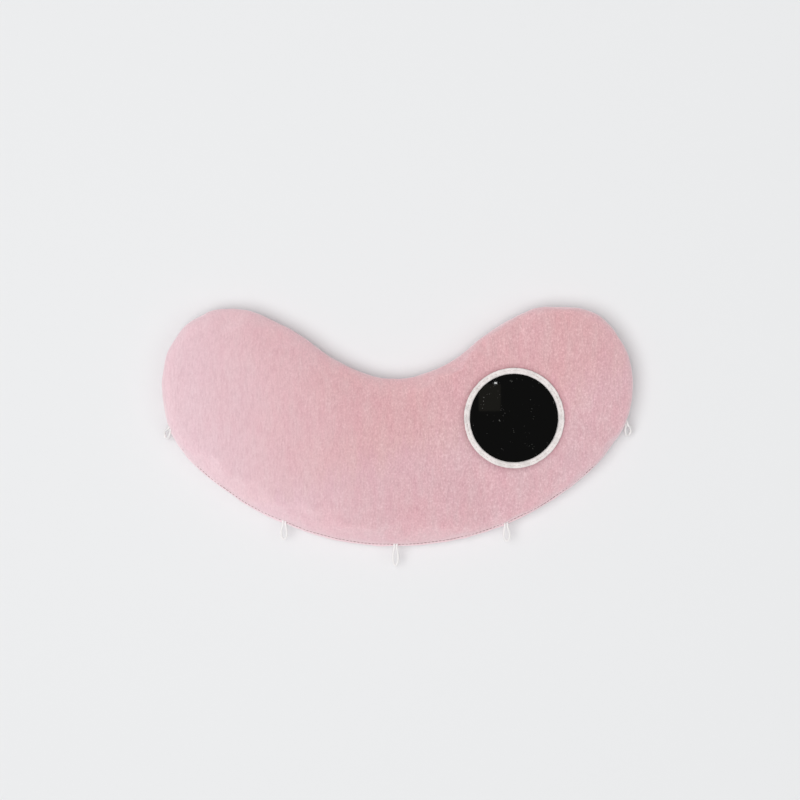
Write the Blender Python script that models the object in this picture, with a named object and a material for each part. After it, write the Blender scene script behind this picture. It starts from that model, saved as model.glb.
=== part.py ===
"""Crescent activity cushion: two velvet panels sewn round a filling, a round mirror in a bound
window on the right lobe, and five cord loops along the lower seam. Metres, +Z up, lying on its back
panel with the notch towards +Y. The origin is on the flat underside."""

import math

import bmesh
import bpy
from mathutils import Matrix, Vector

# Outline of the back panel, seen from above
WIDTH = 0.502
LOWER_EDGE_Y = -0.117
LOWER_RADIUS = 0.305
NOTCH_Y = 0.061
NOTCH_RADIUS = 0.103
LEFT_SIDE_RADIUS = 0.108
LEFT_LOBE_RADIUS = 0.073
LEFT_LOBE_START = math.radians(18)
LEFT_LOBE_END = math.radians(114)
RIGHT_SIDE_RADIUS = 0.111
RIGHT_LOBE_RADIUS = 0.078
RIGHT_LOBE_START = math.radians(16)
RIGHT_LOBE_END = math.radians(112)

# Section through the edge
SEAM_HEIGHT = 0.022
FRONT_RISE = 0.014
FRONT_ROLL = 0.020
FRONT_LIP = 0.003
CROWN = 0.003
BACK_ROLL = 0.022
BACK_LIP = 0.004
PANEL_THICK = 0.0018
SEAM_DEPTH = 0.002
SEAM_ALLOWANCE = 0.008
LOWER_SEAM_INSET = 0.003
CROWN_START = 0.050
SPINE = 0.064
CLEARANCE = 0.0003
SEAM_THREAD = 0.0008
SEAM_THREAD_INSET = 0.0055

# Mirror window
MIRROR_FROM_SIDE = 0.1275
MIRROR_X = WIDTH / 2 - MIRROR_FROM_SIDE
MIRROR_Y = 0.0198
MIRROR_RADIUS = 0.050
MIRROR_THICK = 0.0015
MIRROR_OVERLAP = 0.003
BINDING_WIDTH = 0.0062
BINDING_THICK = 0.0009
BINDING_GROOVE = 0.0005
BINDING_EDGE_DROP = 0.0004
RING_THREAD = 0.0005
POCKET_THICK = 0.0008
FLAT_MARGIN = 0.022
FLAT_BLEND = 0.050

# Cord loops
CORD = 0.0024
LOOP_LENGTH = 0.0235
LOOP_SPREAD = 0.0042
HINGE_OUT = 0.0018
LOOP_END_LENGTH = 0.0075
# Each loop: name, turn of the edge there and turn of the loop from -Y, droop below the horizontal
LOOPS = (
    ("far_left", -66, -32, 50),
    ("left", -23.2, -2, 18),
    ("centre", -0.4, 0, 18),
    ("right", 22.2, 4, 18),
    ("far_right", 68, 20, 50),
)

# Facets
LOWER_STEPS = 8
SIDE_STEPS = 5
LOBE_STEPS = 6
FLANK_STEPS = 5
NOTCH_STEPS = 8
HALF = LOWER_STEPS + SIDE_STEPS + LOBE_STEPS + FLANK_STEPS + NOTCH_STEPS
AROUND = 2 * HALF
ROUND_STEPS = 48
LOOP_POINTS = 24
ROLL_OUTSIDE = (90, 65, 42, 22, 0)

VELVET = (222, 182, 188)
OFF_WHITE = (236, 232, 226)
FIBRE = (244, 243, 240)
SILVER = (200, 202, 204)


def srgb(colour):
    """An 8-bit screen colour as linear values with alpha."""
    linear = [((c / 255 + 0.055) / 1.055) ** 2.4 for c in colour]
    return (*linear, 1.0)


def material(name, colour, roughness, metallic=0.0):
    made = bpy.data.materials.new(name)
    made.use_nodes = True
    shader = made.node_tree.nodes["Principled BSDF"]
    shader.inputs["Base Color"].default_value = srgb(colour)
    shader.inputs["Roughness"].default_value = roughness
    shader.inputs["Metallic"].default_value = metallic
    return made


def side_arcs(side_radius, lobe_radius, lobe_start, lobe_end):
    """One half of the outline, from the lowest point to the notch, as tangent arcs on the +X side.

    An arc is centre, radius, first and last angle, +1 where it bulges outwards, and its steps."""
    lower = Vector((0, LOWER_EDGE_Y + LOWER_RADIUS))
    side_x = WIDTH / 2 - side_radius
    side_y = lower.y - math.sqrt((LOWER_RADIUS - side_radius) ** 2 - side_x**2)
    side = Vector((side_x, side_y))
    start = Vector((math.cos(lobe_start), math.sin(lobe_start)))
    lobe = side + (side_radius - lobe_radius) * start
    end = Vector((math.cos(lobe_end), math.sin(lobe_end)))
    lobe_point = lobe + lobe_radius * end
    notch = Vector((0, NOTCH_Y + NOTCH_RADIUS))
    reach = lobe_point - notch
    flank_radius = (reach.length_squared - NOTCH_RADIUS**2) / (2 * (reach.dot(end) + NOTCH_RADIUS))
    flank = lobe_point - flank_radius * end
    lower_end = math.atan2(side.y - lower.y, side.x - lower.x)
    flank_end = math.atan2(notch.y - flank.y, notch.x - flank.x)
    notch_start = math.atan2(flank.y - notch.y, flank.x - notch.x)
    return (
        (lower, LOWER_RADIUS, -math.pi / 2, lower_end, 1, LOWER_STEPS),
        (side, side_radius, lower_end, lobe_start, 1, SIDE_STEPS),
        (lobe, lobe_radius, lobe_start, lobe_end, 1, LOBE_STEPS),
        (flank, flank_radius, lobe_end, flank_end, 1, FLANK_STEPS),
        (notch, NOTCH_RADIUS, notch_start, -math.pi / 2, -1, NOTCH_STEPS),
    )


def half_stations(arcs, mirror):
    """Stations along one half: a centre, a radius and an outward normal each."""
    stations = []
    for centre, radius, first, last, bulge, steps in arcs:
        for step in range(steps):
            angle = first + (last - first) * step / steps
            normal = bulge * Vector((mirror * math.cos(angle), math.sin(angle)))
            stations.append((Vector((mirror * centre.x, centre.y)), bulge * radius, normal))
    last_centre, last_radius = arcs[-1][0], arcs[-1][1]
    stations.append((last_centre, -last_radius, Vector((0, 1))))
    return stations


RIGHT_ARCS = side_arcs(RIGHT_SIDE_RADIUS, RIGHT_LOBE_RADIUS, RIGHT_LOBE_START, RIGHT_LOBE_END)
LEFT_ARCS = side_arcs(LEFT_SIDE_RADIUS, LEFT_LOBE_RADIUS, LEFT_LOBE_START, LEFT_LOBE_END)
RIGHT_HALF = half_stations(RIGHT_ARCS, 1)
LEFT_HALF = half_stations(LEFT_ARCS, -1)
STATIONS = RIGHT_HALF + LEFT_HALF[-2:0:-1]


def edge_point(station, inset):
    """A point of the outline drawn in by inset."""
    centre, radius, normal = station
    return centre + (radius - inset) * normal


def seam_inset(station):
    """How much further in the front panel is sewn, which shows the back panel along the lower edge."""
    return LOWER_SEAM_INSET * max(0.0, -station[2].y)


def crown_lift(point, inset):
    """The rise of the front towards its spine, left out round the mirror."""
    rise = min(1.0, max(0.0, (inset - FRONT_ROLL) / (CROWN_START - FRONT_ROLL)))
    away = math.hypot(point.x - MIRROR_X, point.y - MIRROR_Y) - BINDING_OUTER - FLAT_MARGIN
    clear = min(1.0, max(0.0, away / FLAT_BLEND))
    return CROWN * rise * clear * clear * (3 - 2 * clear)


def swept_ring(inset, height, follow, crowned=False):
    """One loop of points at an inset and a height. follow is how much of the seam's inset it takes."""
    points = []
    for station in STATIONS:
        place = edge_point(station, inset + follow * seam_inset(station))
        lift = crown_lift(place, inset) if crowned else 0.0
        points.append((place.x, place.y, height + lift))
    return points


def round_ring(radius, height):
    """A circle of points about the mirror's axis."""
    points = []
    for step in range(ROUND_STEPS):
        angle = 2 * math.pi * step / ROUND_STEPS
        points.append((MIRROR_X + radius * math.cos(angle), MIRROR_Y + radius * math.sin(angle), height))
    return points


def finish(name, mesh, look):
    made = bpy.data.objects.new(name, mesh)
    bpy.context.scene.collection.objects.link(made)
    mesh.materials.append(look)
    mesh.shade_smooth()
    mesh.set_sharp_from_angle(angle=math.radians(40))
    return made


def ring_solid(name, rings, look, first_cap=None, last_cap=None):
    """A closed solid from loops of points, bridged one to the next.

    Without caps the last loop meets the first. A cap is face, one flat face, or ribs, a strip of
    faces across a crescent."""
    shape = bmesh.new()
    loops = [[shape.verts.new(point) for point in ring] for ring in rings]
    count = len(loops[0])
    closed = first_cap is None
    for index in range(len(loops) if closed else len(loops) - 1):
        near = loops[index]
        far = loops[(index + 1) % len(loops)]
        for step in range(count):
            after = (step + 1) % count
            shape.faces.new((near[step], near[after], far[after]))
            shape.faces.new((near[step], far[after], far[step]))
    for cap, loop in ((first_cap, loops[0]), (last_cap, loops[-1])):
        if cap == "face":
            shape.faces.new(loop)
        elif cap == "ribs":
            for step in range(-HALF // 2, HALF // 2):
                low, low_after = loop[step], loop[step + 1]
                high, high_after = loop[(HALF - step) % AROUND], loop[HALF - step - 1]
                for corners in ((low, low_after, high_after), (low, high_after, high)):
                    if len(set(corners)) == len(corners):
                        shape.faces.new(corners)
    bmesh.ops.recalc_face_normals(shape, faces=shape.faces)
    mesh = bpy.data.meshes.new(name)
    shape.to_mesh(mesh)
    shape.free()
    return finish(name, mesh, look)


def roll(width, height, angle):
    """A point of a quarter ellipse: 0 is the widest place and 90 degrees the flat of the panel."""
    turn = math.radians(angle)
    return width * (1 - math.cos(turn)), height * math.sin(turn)


def inside_angles(panel_roll):
    """Where the inside of a rolled edge has its points: at the end of the seam allowance and on."""
    skin = PANEL_THICK + CLEARANCE
    wall = math.degrees(math.acos(1 - (SEAM_ALLOWANCE + CLEARANCE - skin) / (panel_roll - skin)))
    return wall, (wall + 90) / 2, 90


# Heights that several pieces share
FRONT_WIDEST = SEAM_HEIGHT + FRONT_LIP
BACK_WIDEST = SEAM_HEIGHT - BACK_LIP
PANEL_TOP = FRONT_WIDEST + FRONT_RISE
VISIBLE_RADIUS = MIRROR_RADIUS - MIRROR_OVERLAP
BINDING_OUTER = VISIBLE_RADIUS + BINDING_WIDTH
WINDOW_RADIUS = VISIBLE_RADIUS + BINDING_THICK + CLEARANCE
BINDING_TOP = PANEL_TOP + CLEARANCE + BINDING_THICK
BINDING_LOW = PANEL_TOP - PANEL_THICK - CLEARANCE - BINDING_THICK
MIRROR_TOP = BINDING_LOW - CLEARANCE
MIRROR_LOW = MIRROR_TOP - MIRROR_THICK
POCKET_LOW = MIRROR_LOW - CLEARANCE - POCKET_THICK


def cut(target, cutter):
    modifier = target.modifiers.new(cutter.name, "BOOLEAN")
    modifier.operation = "DIFFERENCE"
    modifier.solver = "EXACT"
    modifier.object = cutter


def hide_cutter(cutter):
    cutter.hide_render = True
    cutter.display_type = "WIRE"
    return cutter


def front_panel(look):
    rings = [swept_ring(SPINE, PANEL_TOP, 0, True), swept_ring(CROWN_START, PANEL_TOP, 0, True)]
    for angle in ROLL_OUTSIDE:
        inset, rise = roll(FRONT_ROLL, FRONT_RISE, angle)
        rings.append(swept_ring(inset, FRONT_WIDEST + rise, 1))
    low = SEAM_HEIGHT + CLEARANCE / 2
    rings.append(swept_ring(SEAM_DEPTH, low, 1))
    rings.append(swept_ring(SEAM_ALLOWANCE, low, 1))
    rings.append(swept_ring(SEAM_ALLOWANCE, low + PANEL_THICK, 1))
    rings.append(swept_ring(SEAM_DEPTH + PANEL_THICK, low + PANEL_THICK, 1))
    for angle in (0, *inside_angles(FRONT_ROLL)):
        inset, rise = roll(FRONT_ROLL - PANEL_THICK, FRONT_RISE - PANEL_THICK, angle)
        rings.append(swept_ring(PANEL_THICK + inset, FRONT_WIDEST + rise, 1))
    inner = PANEL_TOP - PANEL_THICK
    rings.append(swept_ring(CROWN_START, inner, 0, True))
    rings.append(swept_ring(SPINE, inner, 0, True))
    return ring_solid("front_panel", rings, look, "ribs", "ribs")


def back_panel(look):
    rings = []
    for angle in ROLL_OUTSIDE:
        inset, rise = roll(BACK_ROLL, BACK_WIDEST, angle)
        rings.append(swept_ring(inset, BACK_WIDEST - rise, 0))
    high = SEAM_HEIGHT - CLEARANCE / 2
    rings.append(swept_ring(SEAM_DEPTH, high, 1))
    rings.append(swept_ring(SEAM_ALLOWANCE, high, 1))
    rings.append(swept_ring(SEAM_ALLOWANCE, high - PANEL_THICK, 1))
    rings.append(swept_ring(SEAM_DEPTH + PANEL_THICK, high - PANEL_THICK, 1))
    for angle in (0, *inside_angles(BACK_ROLL)):
        inset, rise = roll(BACK_ROLL - PANEL_THICK, BACK_WIDEST - PANEL_THICK, angle)
        rings.append(swept_ring(PANEL_THICK + inset, BACK_WIDEST - rise, 0))
    return ring_solid("back_panel", rings, look, "face", "face")


def filling(look):
    """The fibre block inside, kept clear of the seam allowance by an upright wall."""
    skin = PANEL_THICK + CLEARANCE
    rings = []
    for panel_roll, widest, rise, sign, follow in (
        (BACK_ROLL, BACK_WIDEST, BACK_WIDEST, -1, 0),
        (FRONT_ROLL, FRONT_WIDEST, FRONT_RISE, 1, 1),
    ):
        angles = inside_angles(panel_roll)
        for angle in angles[::sign]:
            inset, lift = roll(panel_roll - skin, rise - skin, angle)
            takes = 1 if angle == angles[0] else follow
            rings.append(swept_ring(skin + inset, widest + sign * lift, takes))
    rings.append(swept_ring(CROWN_START, PANEL_TOP - skin, 0, True))
    rings.append(swept_ring(SPINE, PANEL_TOP - skin, 0, True))
    made = ring_solid("filling", rings, look, "face", "ribs")
    recess = (BINDING_OUTER + CLEARANCE, POCKET_LOW - CLEARANCE, PANEL_TOP + CROWN)
    cut(made, round_cutter("mirror_recess", *recess, look))
    return made


def round_cutter(name, radius, low, high, look):
    rings = [round_ring(radius, low), round_ring(radius, high)]
    return hide_cutter(ring_solid(name, rings, look, "face", "face"))


def mirror_parts(acrylic, cotton, lining, thread):
    disc = [round_ring(MIRROR_RADIUS, MIRROR_LOW), round_ring(MIRROR_RADIUS, MIRROR_TOP)]
    ring_solid("mirror_disc", disc, acrylic, "face", "face")

    wall = MIRROR_RADIUS + CLEARANCE
    pocket = (
        (wall, MIRROR_LOW - CLEARANCE),
        (wall, MIRROR_TOP),
        (BINDING_OUTER, MIRROR_TOP),
        (BINDING_OUTER, MIRROR_TOP - POCKET_THICK),
        (wall + POCKET_THICK, MIRROR_TOP - POCKET_THICK),
        (wall + POCKET_THICK, POCKET_LOW),
    )
    rings = [round_ring(radius, height) for radius, height in pocket]
    ring_solid("mirror_pocket", rings, lining, "face", "face")

    stitch = (VISIBLE_RADIUS + BINDING_OUTER) / 2
    leaf_low = PANEL_TOP + CLEARANCE
    leaf_high = PANEL_TOP - PANEL_THICK - CLEARANCE
    edge_top = BINDING_TOP - BINDING_EDGE_DROP
    half_groove = RING_THREAD / 2 + CLEARANCE
    binding = (
        (WINDOW_RADIUS - CLEARANCE, leaf_low),
        (BINDING_OUTER, leaf_low),
        (BINDING_OUTER, edge_top),
        ((BINDING_OUTER + stitch) / 2, BINDING_TOP),
        (stitch + half_groove, BINDING_TOP),
        (stitch, BINDING_TOP - BINDING_GROOVE),
        (stitch - half_groove, BINDING_TOP),
        ((VISIBLE_RADIUS + stitch) / 2, BINDING_TOP),
        (VISIBLE_RADIUS, edge_top),
        (VISIBLE_RADIUS, BINDING_LOW),
        (BINDING_OUTER, BINDING_LOW),
        (BINDING_OUTER, leaf_high),
        (WINDOW_RADIUS - CLEARANCE, leaf_high),
    )
    ring_solid("window_binding", [round_ring(radius, height) for radius, height in binding], cotton)
    groove_floor = BINDING_TOP - BINDING_GROOVE + CLEARANCE
    tube("binding_stitch", round_ring(stitch, groove_floor + RING_THREAD), RING_THREAD, thread, cyclic=True)


def tube(name, points, diameter, look, cyclic=False, tapers=None, sides=1):
    """A round cord along points, closed on itself or with filled ends."""
    curve = bpy.data.curves.new(name, "CURVE")
    curve.dimensions = "3D"
    curve.bevel_depth = diameter / 2
    curve.bevel_resolution = sides
    curve.use_fill_caps = not cyclic
    spline = curve.splines.new("POLY")
    spline.points.add(len(points) - 1)
    for index, point in enumerate(points):
        spline.points[index].co = (*point, 1)
        spline.points[index].radius = tapers[index] if tapers else 1
    spline.use_cyclic_u = cyclic
    curve.materials.append(look)
    made = bpy.data.objects.new(name, curve)
    bpy.context.scene.collection.objects.link(made)
    return made


def seam_stitch(look):
    height = SEAM_HEIGHT + CLEARANCE / 2 + PANEL_THICK + CLEARANCE + SEAM_THREAD / 2
    tube("seam_stitch", swept_ring(SEAM_THREAD_INSET, height, 1), SEAM_THREAD, look, cyclic=True)


def edge_station(turn):
    """The place on the outline whose outward normal is turned by this much from -Y."""
    arcs = RIGHT_ARCS if turn > 0 else LEFT_ARCS
    mirror = 1 if turn > 0 else -1
    angle = abs(turn) - math.pi / 2
    centre, radius = next((arc[0], arc[1]) for arc in arcs if angle <= arc[3])
    normal = Vector((mirror * math.cos(angle), math.sin(angle)))
    return Vector((mirror * centre.x, centre.y)), radius, normal


def loop_frame(edge_turn, lie, droop):
    """Where a loop hinges, with X along the loop and Y along its hinge."""
    place = edge_point(edge_station(math.radians(edge_turn)), -HINGE_OUT)
    turn = math.radians(lie - 90)
    flat = Matrix.Rotation(turn, 4, "Z") @ Matrix.Rotation(math.radians(droop), 4, "Y")
    return Matrix.Translation((place.x, place.y, SEAM_HEIGHT)) @ flat


def loop_path():
    """A drop-shaped loop: both ends side by side at the hinge, rounded there, and widest near the tip."""
    side_by_side = (CORD + CLEARANCE) / 2
    points = []
    for step in range(LOOP_POINTS + 1):
        turn = 2 * math.pi * step / LOOP_POINTS
        along = (LOOP_LENGTH - CORD / 2) * (1 - math.cos(turn)) / 2
        across = LOOP_SPREAD * math.sin(turn) * math.sin(turn / 2) + side_by_side * math.cos(turn / 2)
        points.append(Vector((along, across, 0)))
    tapers = [1.0] * len(points)
    for degrees in (45, 80):
        back = CORD / 2 * math.sin(math.radians(degrees))
        taper = math.cos(math.radians(degrees))
        points.insert(0, Vector((-back, side_by_side, 0)))
        points.append(Vector((-back, -side_by_side, 0)))
        tapers.insert(0, taper)
        tapers.append(taper)
    return points, tapers


def loop_end_solid(name, extra, length, look):
    """The two sewn-in cord ends side by side: a bar with round edges, grown by extra all round."""
    side_by_side = (CORD + CLEARANCE) / 2
    radius = CORD / 2 + extra
    outer = -CORD / 2 - CLEARANCE
    rings = []
    for along in (outer + extra, outer - length - extra):
        ring = []
        for shift, first in ((side_by_side, 0), (-side_by_side, 180)):
            for turn in (first - 90, first - 45, first, first + 45, first + 90):
                angle = math.radians(turn)
                ring.append((along, shift + radius * math.cos(angle), radius * math.sin(angle)))
        rings.append(ring)
    return ring_solid(name, rings, look, "face", "face")


def cord_loops(panels, cord_look):
    points, tapers = loop_path()
    for name, edge_turn, lie, droop in LOOPS:
        loop = tube("hang_loop_" + name, points, CORD, cord_look, tapers=tapers, sides=2)
        loop.matrix_world = loop_frame(edge_turn, lie, droop)
        end = loop_end_solid("loop_end_" + name, 0, LOOP_END_LENGTH, cord_look)
        end.matrix_world = loop_frame(edge_turn, lie, 0)
        channel = loop_end_solid("channel_" + name, CLEARANCE, LOOP_END_LENGTH, cord_look)
        channel.matrix_world = end.matrix_world
        hide_cutter(channel)
        for panel in panels:
            cut(panel, channel)


def main():
    for old in list(bpy.data.objects):
        bpy.data.objects.remove(old)
    velvet = material("pink_velvet", VELVET, 0.9)
    cotton = material("off_white_cotton", OFF_WHITE, 0.85)
    cord = material("off_white_cord", OFF_WHITE, 0.8)
    thread = material("off_white_thread", OFF_WHITE, 0.7)
    pink_thread = material("pink_thread", VELVET, 0.7)
    fibre = material("fibre_filling", FIBRE, 1.0)
    lining = material("white_lining", FIBRE, 0.9)
    acrylic = material("acrylic_mirror", SILVER, 0.05, 1.0)

    front = front_panel(velvet)
    back = back_panel(velvet)
    window = (WINDOW_RADIUS, BINDING_LOW, PANEL_TOP + CROWN)
    cut(front, round_cutter("mirror_window", *window, velvet))
    filling(fibre)
    mirror_parts(acrylic, cotton, lining, thread)
    seam_stitch(pink_thread)
    cord_loops((front, back), cord)


main()
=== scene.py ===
import math

import bmesh
import bpy
import numpy as np
from mathutils import Matrix, Vector, kdtree, noise


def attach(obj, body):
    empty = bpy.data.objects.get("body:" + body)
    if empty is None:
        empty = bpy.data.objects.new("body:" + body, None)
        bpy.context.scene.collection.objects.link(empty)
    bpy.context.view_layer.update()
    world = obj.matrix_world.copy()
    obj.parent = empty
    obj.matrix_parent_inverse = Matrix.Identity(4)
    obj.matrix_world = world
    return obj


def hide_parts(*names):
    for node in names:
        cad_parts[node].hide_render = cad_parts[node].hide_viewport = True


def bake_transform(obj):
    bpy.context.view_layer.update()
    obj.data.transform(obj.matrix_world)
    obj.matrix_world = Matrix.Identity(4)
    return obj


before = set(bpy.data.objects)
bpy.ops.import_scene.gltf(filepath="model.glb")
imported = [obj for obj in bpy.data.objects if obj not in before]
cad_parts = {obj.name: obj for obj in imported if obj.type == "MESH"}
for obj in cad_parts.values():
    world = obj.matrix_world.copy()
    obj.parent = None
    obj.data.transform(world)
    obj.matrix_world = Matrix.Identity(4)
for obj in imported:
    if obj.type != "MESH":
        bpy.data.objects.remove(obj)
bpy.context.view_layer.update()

# Outline of the cushion seen from above, as in the CAD model
WIDTH = 0.502
LOWER_EDGE_Y = -0.117
LOWER_RADIUS = 0.305
NOTCH_Y = 0.061
NOTCH_RADIUS = 0.103
LEFT_LOBE = dict(side=0.108, lobe=0.073, start=math.radians(18), end=math.radians(114))
RIGHT_LOBE = dict(side=0.111, lobe=0.078, start=math.radians(16), end=math.radians(112))

# Section through the edge
SEAM_HEIGHT = 0.022
FRONT_LIP = 0.003
FRONT_RISE = 0.014
FRONT_ROLL = 0.020
BACK_LIP = 0.004
BACK_ROLL = 0.022
PANEL_THICK = 0.0018
SEAM_DEPTH = 0.002
LOWER_SEAM_INSET = 0.003
CROWN = 0.003
CROWN_START = 0.050
CROWN_FOOT = FRONT_ROLL * 0.6
CROWN_CLEAR = 0.016
CROWN_EASE = 0.055
SPINE = 0.064
SEAM_GAP = 0.0002
ROLL_RINGS = 11
FRONT_FLAT_RINGS = 9
BACK_FLAT_RINGS = 7

# Mirror window
MIRROR = Vector((0.1235, 0.0198))
WINDOW_RADIUS = 0.0482
VISIBLE_RADIUS = 0.047
BINDING_OUTER = 0.0532
# Width of the painted shade round the binding, where the pile is also pressed flat
CRUSHED_AND_SHADED_WIDTH = 0.006
PANEL_TOP = SEAM_HEIGHT + FRONT_LIP + FRONT_RISE
# Heights above which a point counts as the front's top, and as the window's rim
TOP_ABOVE = SEAM_HEIGHT + FRONT_RISE * 0.7
RIM_ABOVE = SEAM_HEIGHT + FRONT_RISE * 0.8

# Cord loops: name, turn of the edge there and turn of the loop from -Y, droop, in degrees
CORD = 0.0024
LOOP_LENGTH = 0.0235
HINGE_OUT = 0.0018
SEWN_IN = 0.0085
SEWN_START = 0.0015
SEWN_POINTS = 6
CORD_GAP = 0.0003
LOOP_START = 0.0003
CORD_SPACING = 0.0005
STRAND_HOLLOW = 0.09
LOOPS = (
    ("far_left", -66, -32, 50),
    ("left", -23.2, -2, 18),
    ("centre", -0.4, 0, 18),
    ("right", 22.2, 4, 18),
    ("far_right", 68, 20, 50),
)
# How much shorter a loop lies than its full length, how wide it opens and how far it has rolled over
LOOP_HANG = {
    "far_left": (0.0065, 0.0040, 28),
    "left": (0.0061, 0.0030, 10),
    "centre": (0.0026, 0.0026, 0),
    "right": (0.0062, 0.0031, -10),
    "far_right": (0.0066, 0.0037, -24),
}

# Points along each arc of half the outline
STEPS = (30, 17, 20, 25, 22)
HALF = sum(STEPS)
AROUND = 2 * HALF
# Steps across the middle of a skin
RIBS = 8


def srgb(r, g, b):
    """An 8-bit screen colour as linear values with alpha."""
    return (*[((c / 255 + 0.055) / 1.055) ** 2.4 for c in (r, g, b)], 1.0)


# Outline

def side_arcs(side, lobe, start, end):
    """Half of the outline as tangent arcs: centre, radius, first and last angle, bulge, steps."""
    lower = Vector((0, LOWER_EDGE_Y + LOWER_RADIUS))
    side_x = WIDTH / 2 - side
    side_y = lower.y - math.sqrt((LOWER_RADIUS - side) ** 2 - side_x**2)
    side_at = Vector((side_x, side_y))
    lobe_at = side_at + (side - lobe) * Vector((math.cos(start), math.sin(start)))
    out = Vector((math.cos(end), math.sin(end)))
    join = lobe_at + lobe * out
    notch = Vector((0, NOTCH_Y + NOTCH_RADIUS))
    reach = join - notch
    flank = (reach.length_squared - NOTCH_RADIUS**2) / (2 * (reach.dot(out) + NOTCH_RADIUS))
    flank_at = join - flank * out
    lower_end = math.atan2(side_at.y - lower.y, side_at.x - lower.x)
    flank_end = math.atan2(notch.y - flank_at.y, notch.x - flank_at.x)
    notch_start = math.atan2(flank_at.y - notch.y, flank_at.x - notch.x)
    return (
        (lower, LOWER_RADIUS, -math.pi / 2, lower_end, 1, STEPS[0]),
        (side_at, side, lower_end, start, 1, STEPS[1]),
        (lobe_at, lobe, start, end, 1, STEPS[2]),
        (flank_at, flank, end, flank_end, 1, STEPS[3]),
        (notch, NOTCH_RADIUS, notch_start, -math.pi / 2, -1, STEPS[4]),
    )


def half_stations(arcs, mirror):
    stations = []
    for centre, radius, first, last, bulge, steps in arcs:
        for step in range(steps):
            angle = first + (last - first) * step / steps
            normal = bulge * Vector((mirror * math.cos(angle), math.sin(angle)))
            stations.append((mirror * centre.x, centre.y, bulge * radius, normal.x, normal.y))
    stations.append((0.0, NOTCH_Y + NOTCH_RADIUS, -NOTCH_RADIUS, 0.0, 1.0))
    return stations


RIGHT_ARCS = side_arcs(**RIGHT_LOBE)
LEFT_ARCS = side_arcs(**LEFT_LOBE)
STATIONS = np.array(half_stations(RIGHT_ARCS, 1) + half_stations(LEFT_ARCS, -1)[-2:0:-1])
CENTRES, RADII, NORMALS = STATIONS[:, :2], STATIONS[:, 2], STATIONS[:, 3:]
EDGE = CENTRES + RADII[:, None] * NORMALS
ALONG = np.concatenate(([0.0], np.cumsum(np.linalg.norm(np.diff(EDGE, axis=0), axis=1))))
SEAM_INSET = LOWER_SEAM_INSET * np.clip(-NORMALS[:, 1], 0, 1)


def wobble(points, size, seed):
    """Smooth noise between about -1 and 1 at each point."""
    shift = Vector((seed * 7.3, seed * 3.1, seed * 5.7))
    return np.array([noise.noise(Vector(p) / size + shift) for p in points])


HAND_WAVE = 0.045
HAND_SWAY = 0.0006
# Where the hand-cut outline leaves the arcs: place, how far it stands out, reach along the edge
HAND_CORNERS = (
    (-0.2490, 0.0880, 0.0014, 0.008),
    (-0.2233, 0.1189, 0.0014, 0.008),
    (-0.1978, 0.1349, 0.0018, 0.008),
    (-0.0740, 0.0900, -0.0026, 0.024),
    (0.0400, 0.0690, 0.0024, 0.028),
    (0.1743, 0.1423, -0.0028, 0.018),
    (0.2159, 0.1327, 0.0012, 0.008),
    (0.2393, 0.1082, -0.0014, 0.010),
    (0.2290, -0.0120, -0.0022, 0.016),
    (-0.0720, -0.1080, 0.0014, 0.040),
    (-0.1570, -0.0720, 0.0022, 0.036),
    (-0.2105, -0.0314, 0.0030, 0.036),
    (-0.2393, 0.0069, 0.0012, 0.020),
)
HAND = wobble(np.c_[EDGE, np.zeros(AROUND)], HAND_WAVE, 1) * HAND_SWAY
for corner_x, corner_y, out, reach in HAND_CORNERS:
    HAND += out * np.exp(-((EDGE[:, 0] - corner_x) ** 2 + (EDGE[:, 1] - corner_y) ** 2) / reach**2)


def ring(inset, height, follow=1.0):
    """One loop of points at an inset from the outline and a height."""
    inset = np.broadcast_to(np.asarray(inset, float), AROUND)
    draw = inset + follow * SEAM_INSET - HAND * np.clip(1 - inset / CROWN_START, 0, 1)
    flat = CENTRES + (RADII - draw)[:, None] * NORMALS
    return np.c_[flat, np.broadcast_to(height, AROUND)]


def smooth(x):
    x = np.clip(x, 0, 1)
    return x * x * (3 - 2 * x)


def from_mirror(points):
    return np.hypot(points[:, 0] - MIRROR.x, points[:, 1] - MIRROR.y)


def crown(points, inset):
    """The rise of the front towards its spine, left out round the mirror."""
    away = from_mirror(points) - BINDING_OUTER - CROWN_CLEAR
    rise = smooth((np.asarray(inset) - CROWN_FOOT) / (CROWN_START - CROWN_FOOT))
    return CROWN * rise * smooth(away / CROWN_EASE)


# Meshes

def new_object(name, verts, faces, look):
    mesh = bpy.data.meshes.new(name)
    mesh.from_pydata([tuple(v) for v in verts], [], faces)
    mesh.validate()
    mesh.shade_smooth()
    mesh.materials.append(look)
    made = bpy.data.objects.new(name, mesh)
    bpy.context.scene.collection.objects.link(made)
    return made


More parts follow.
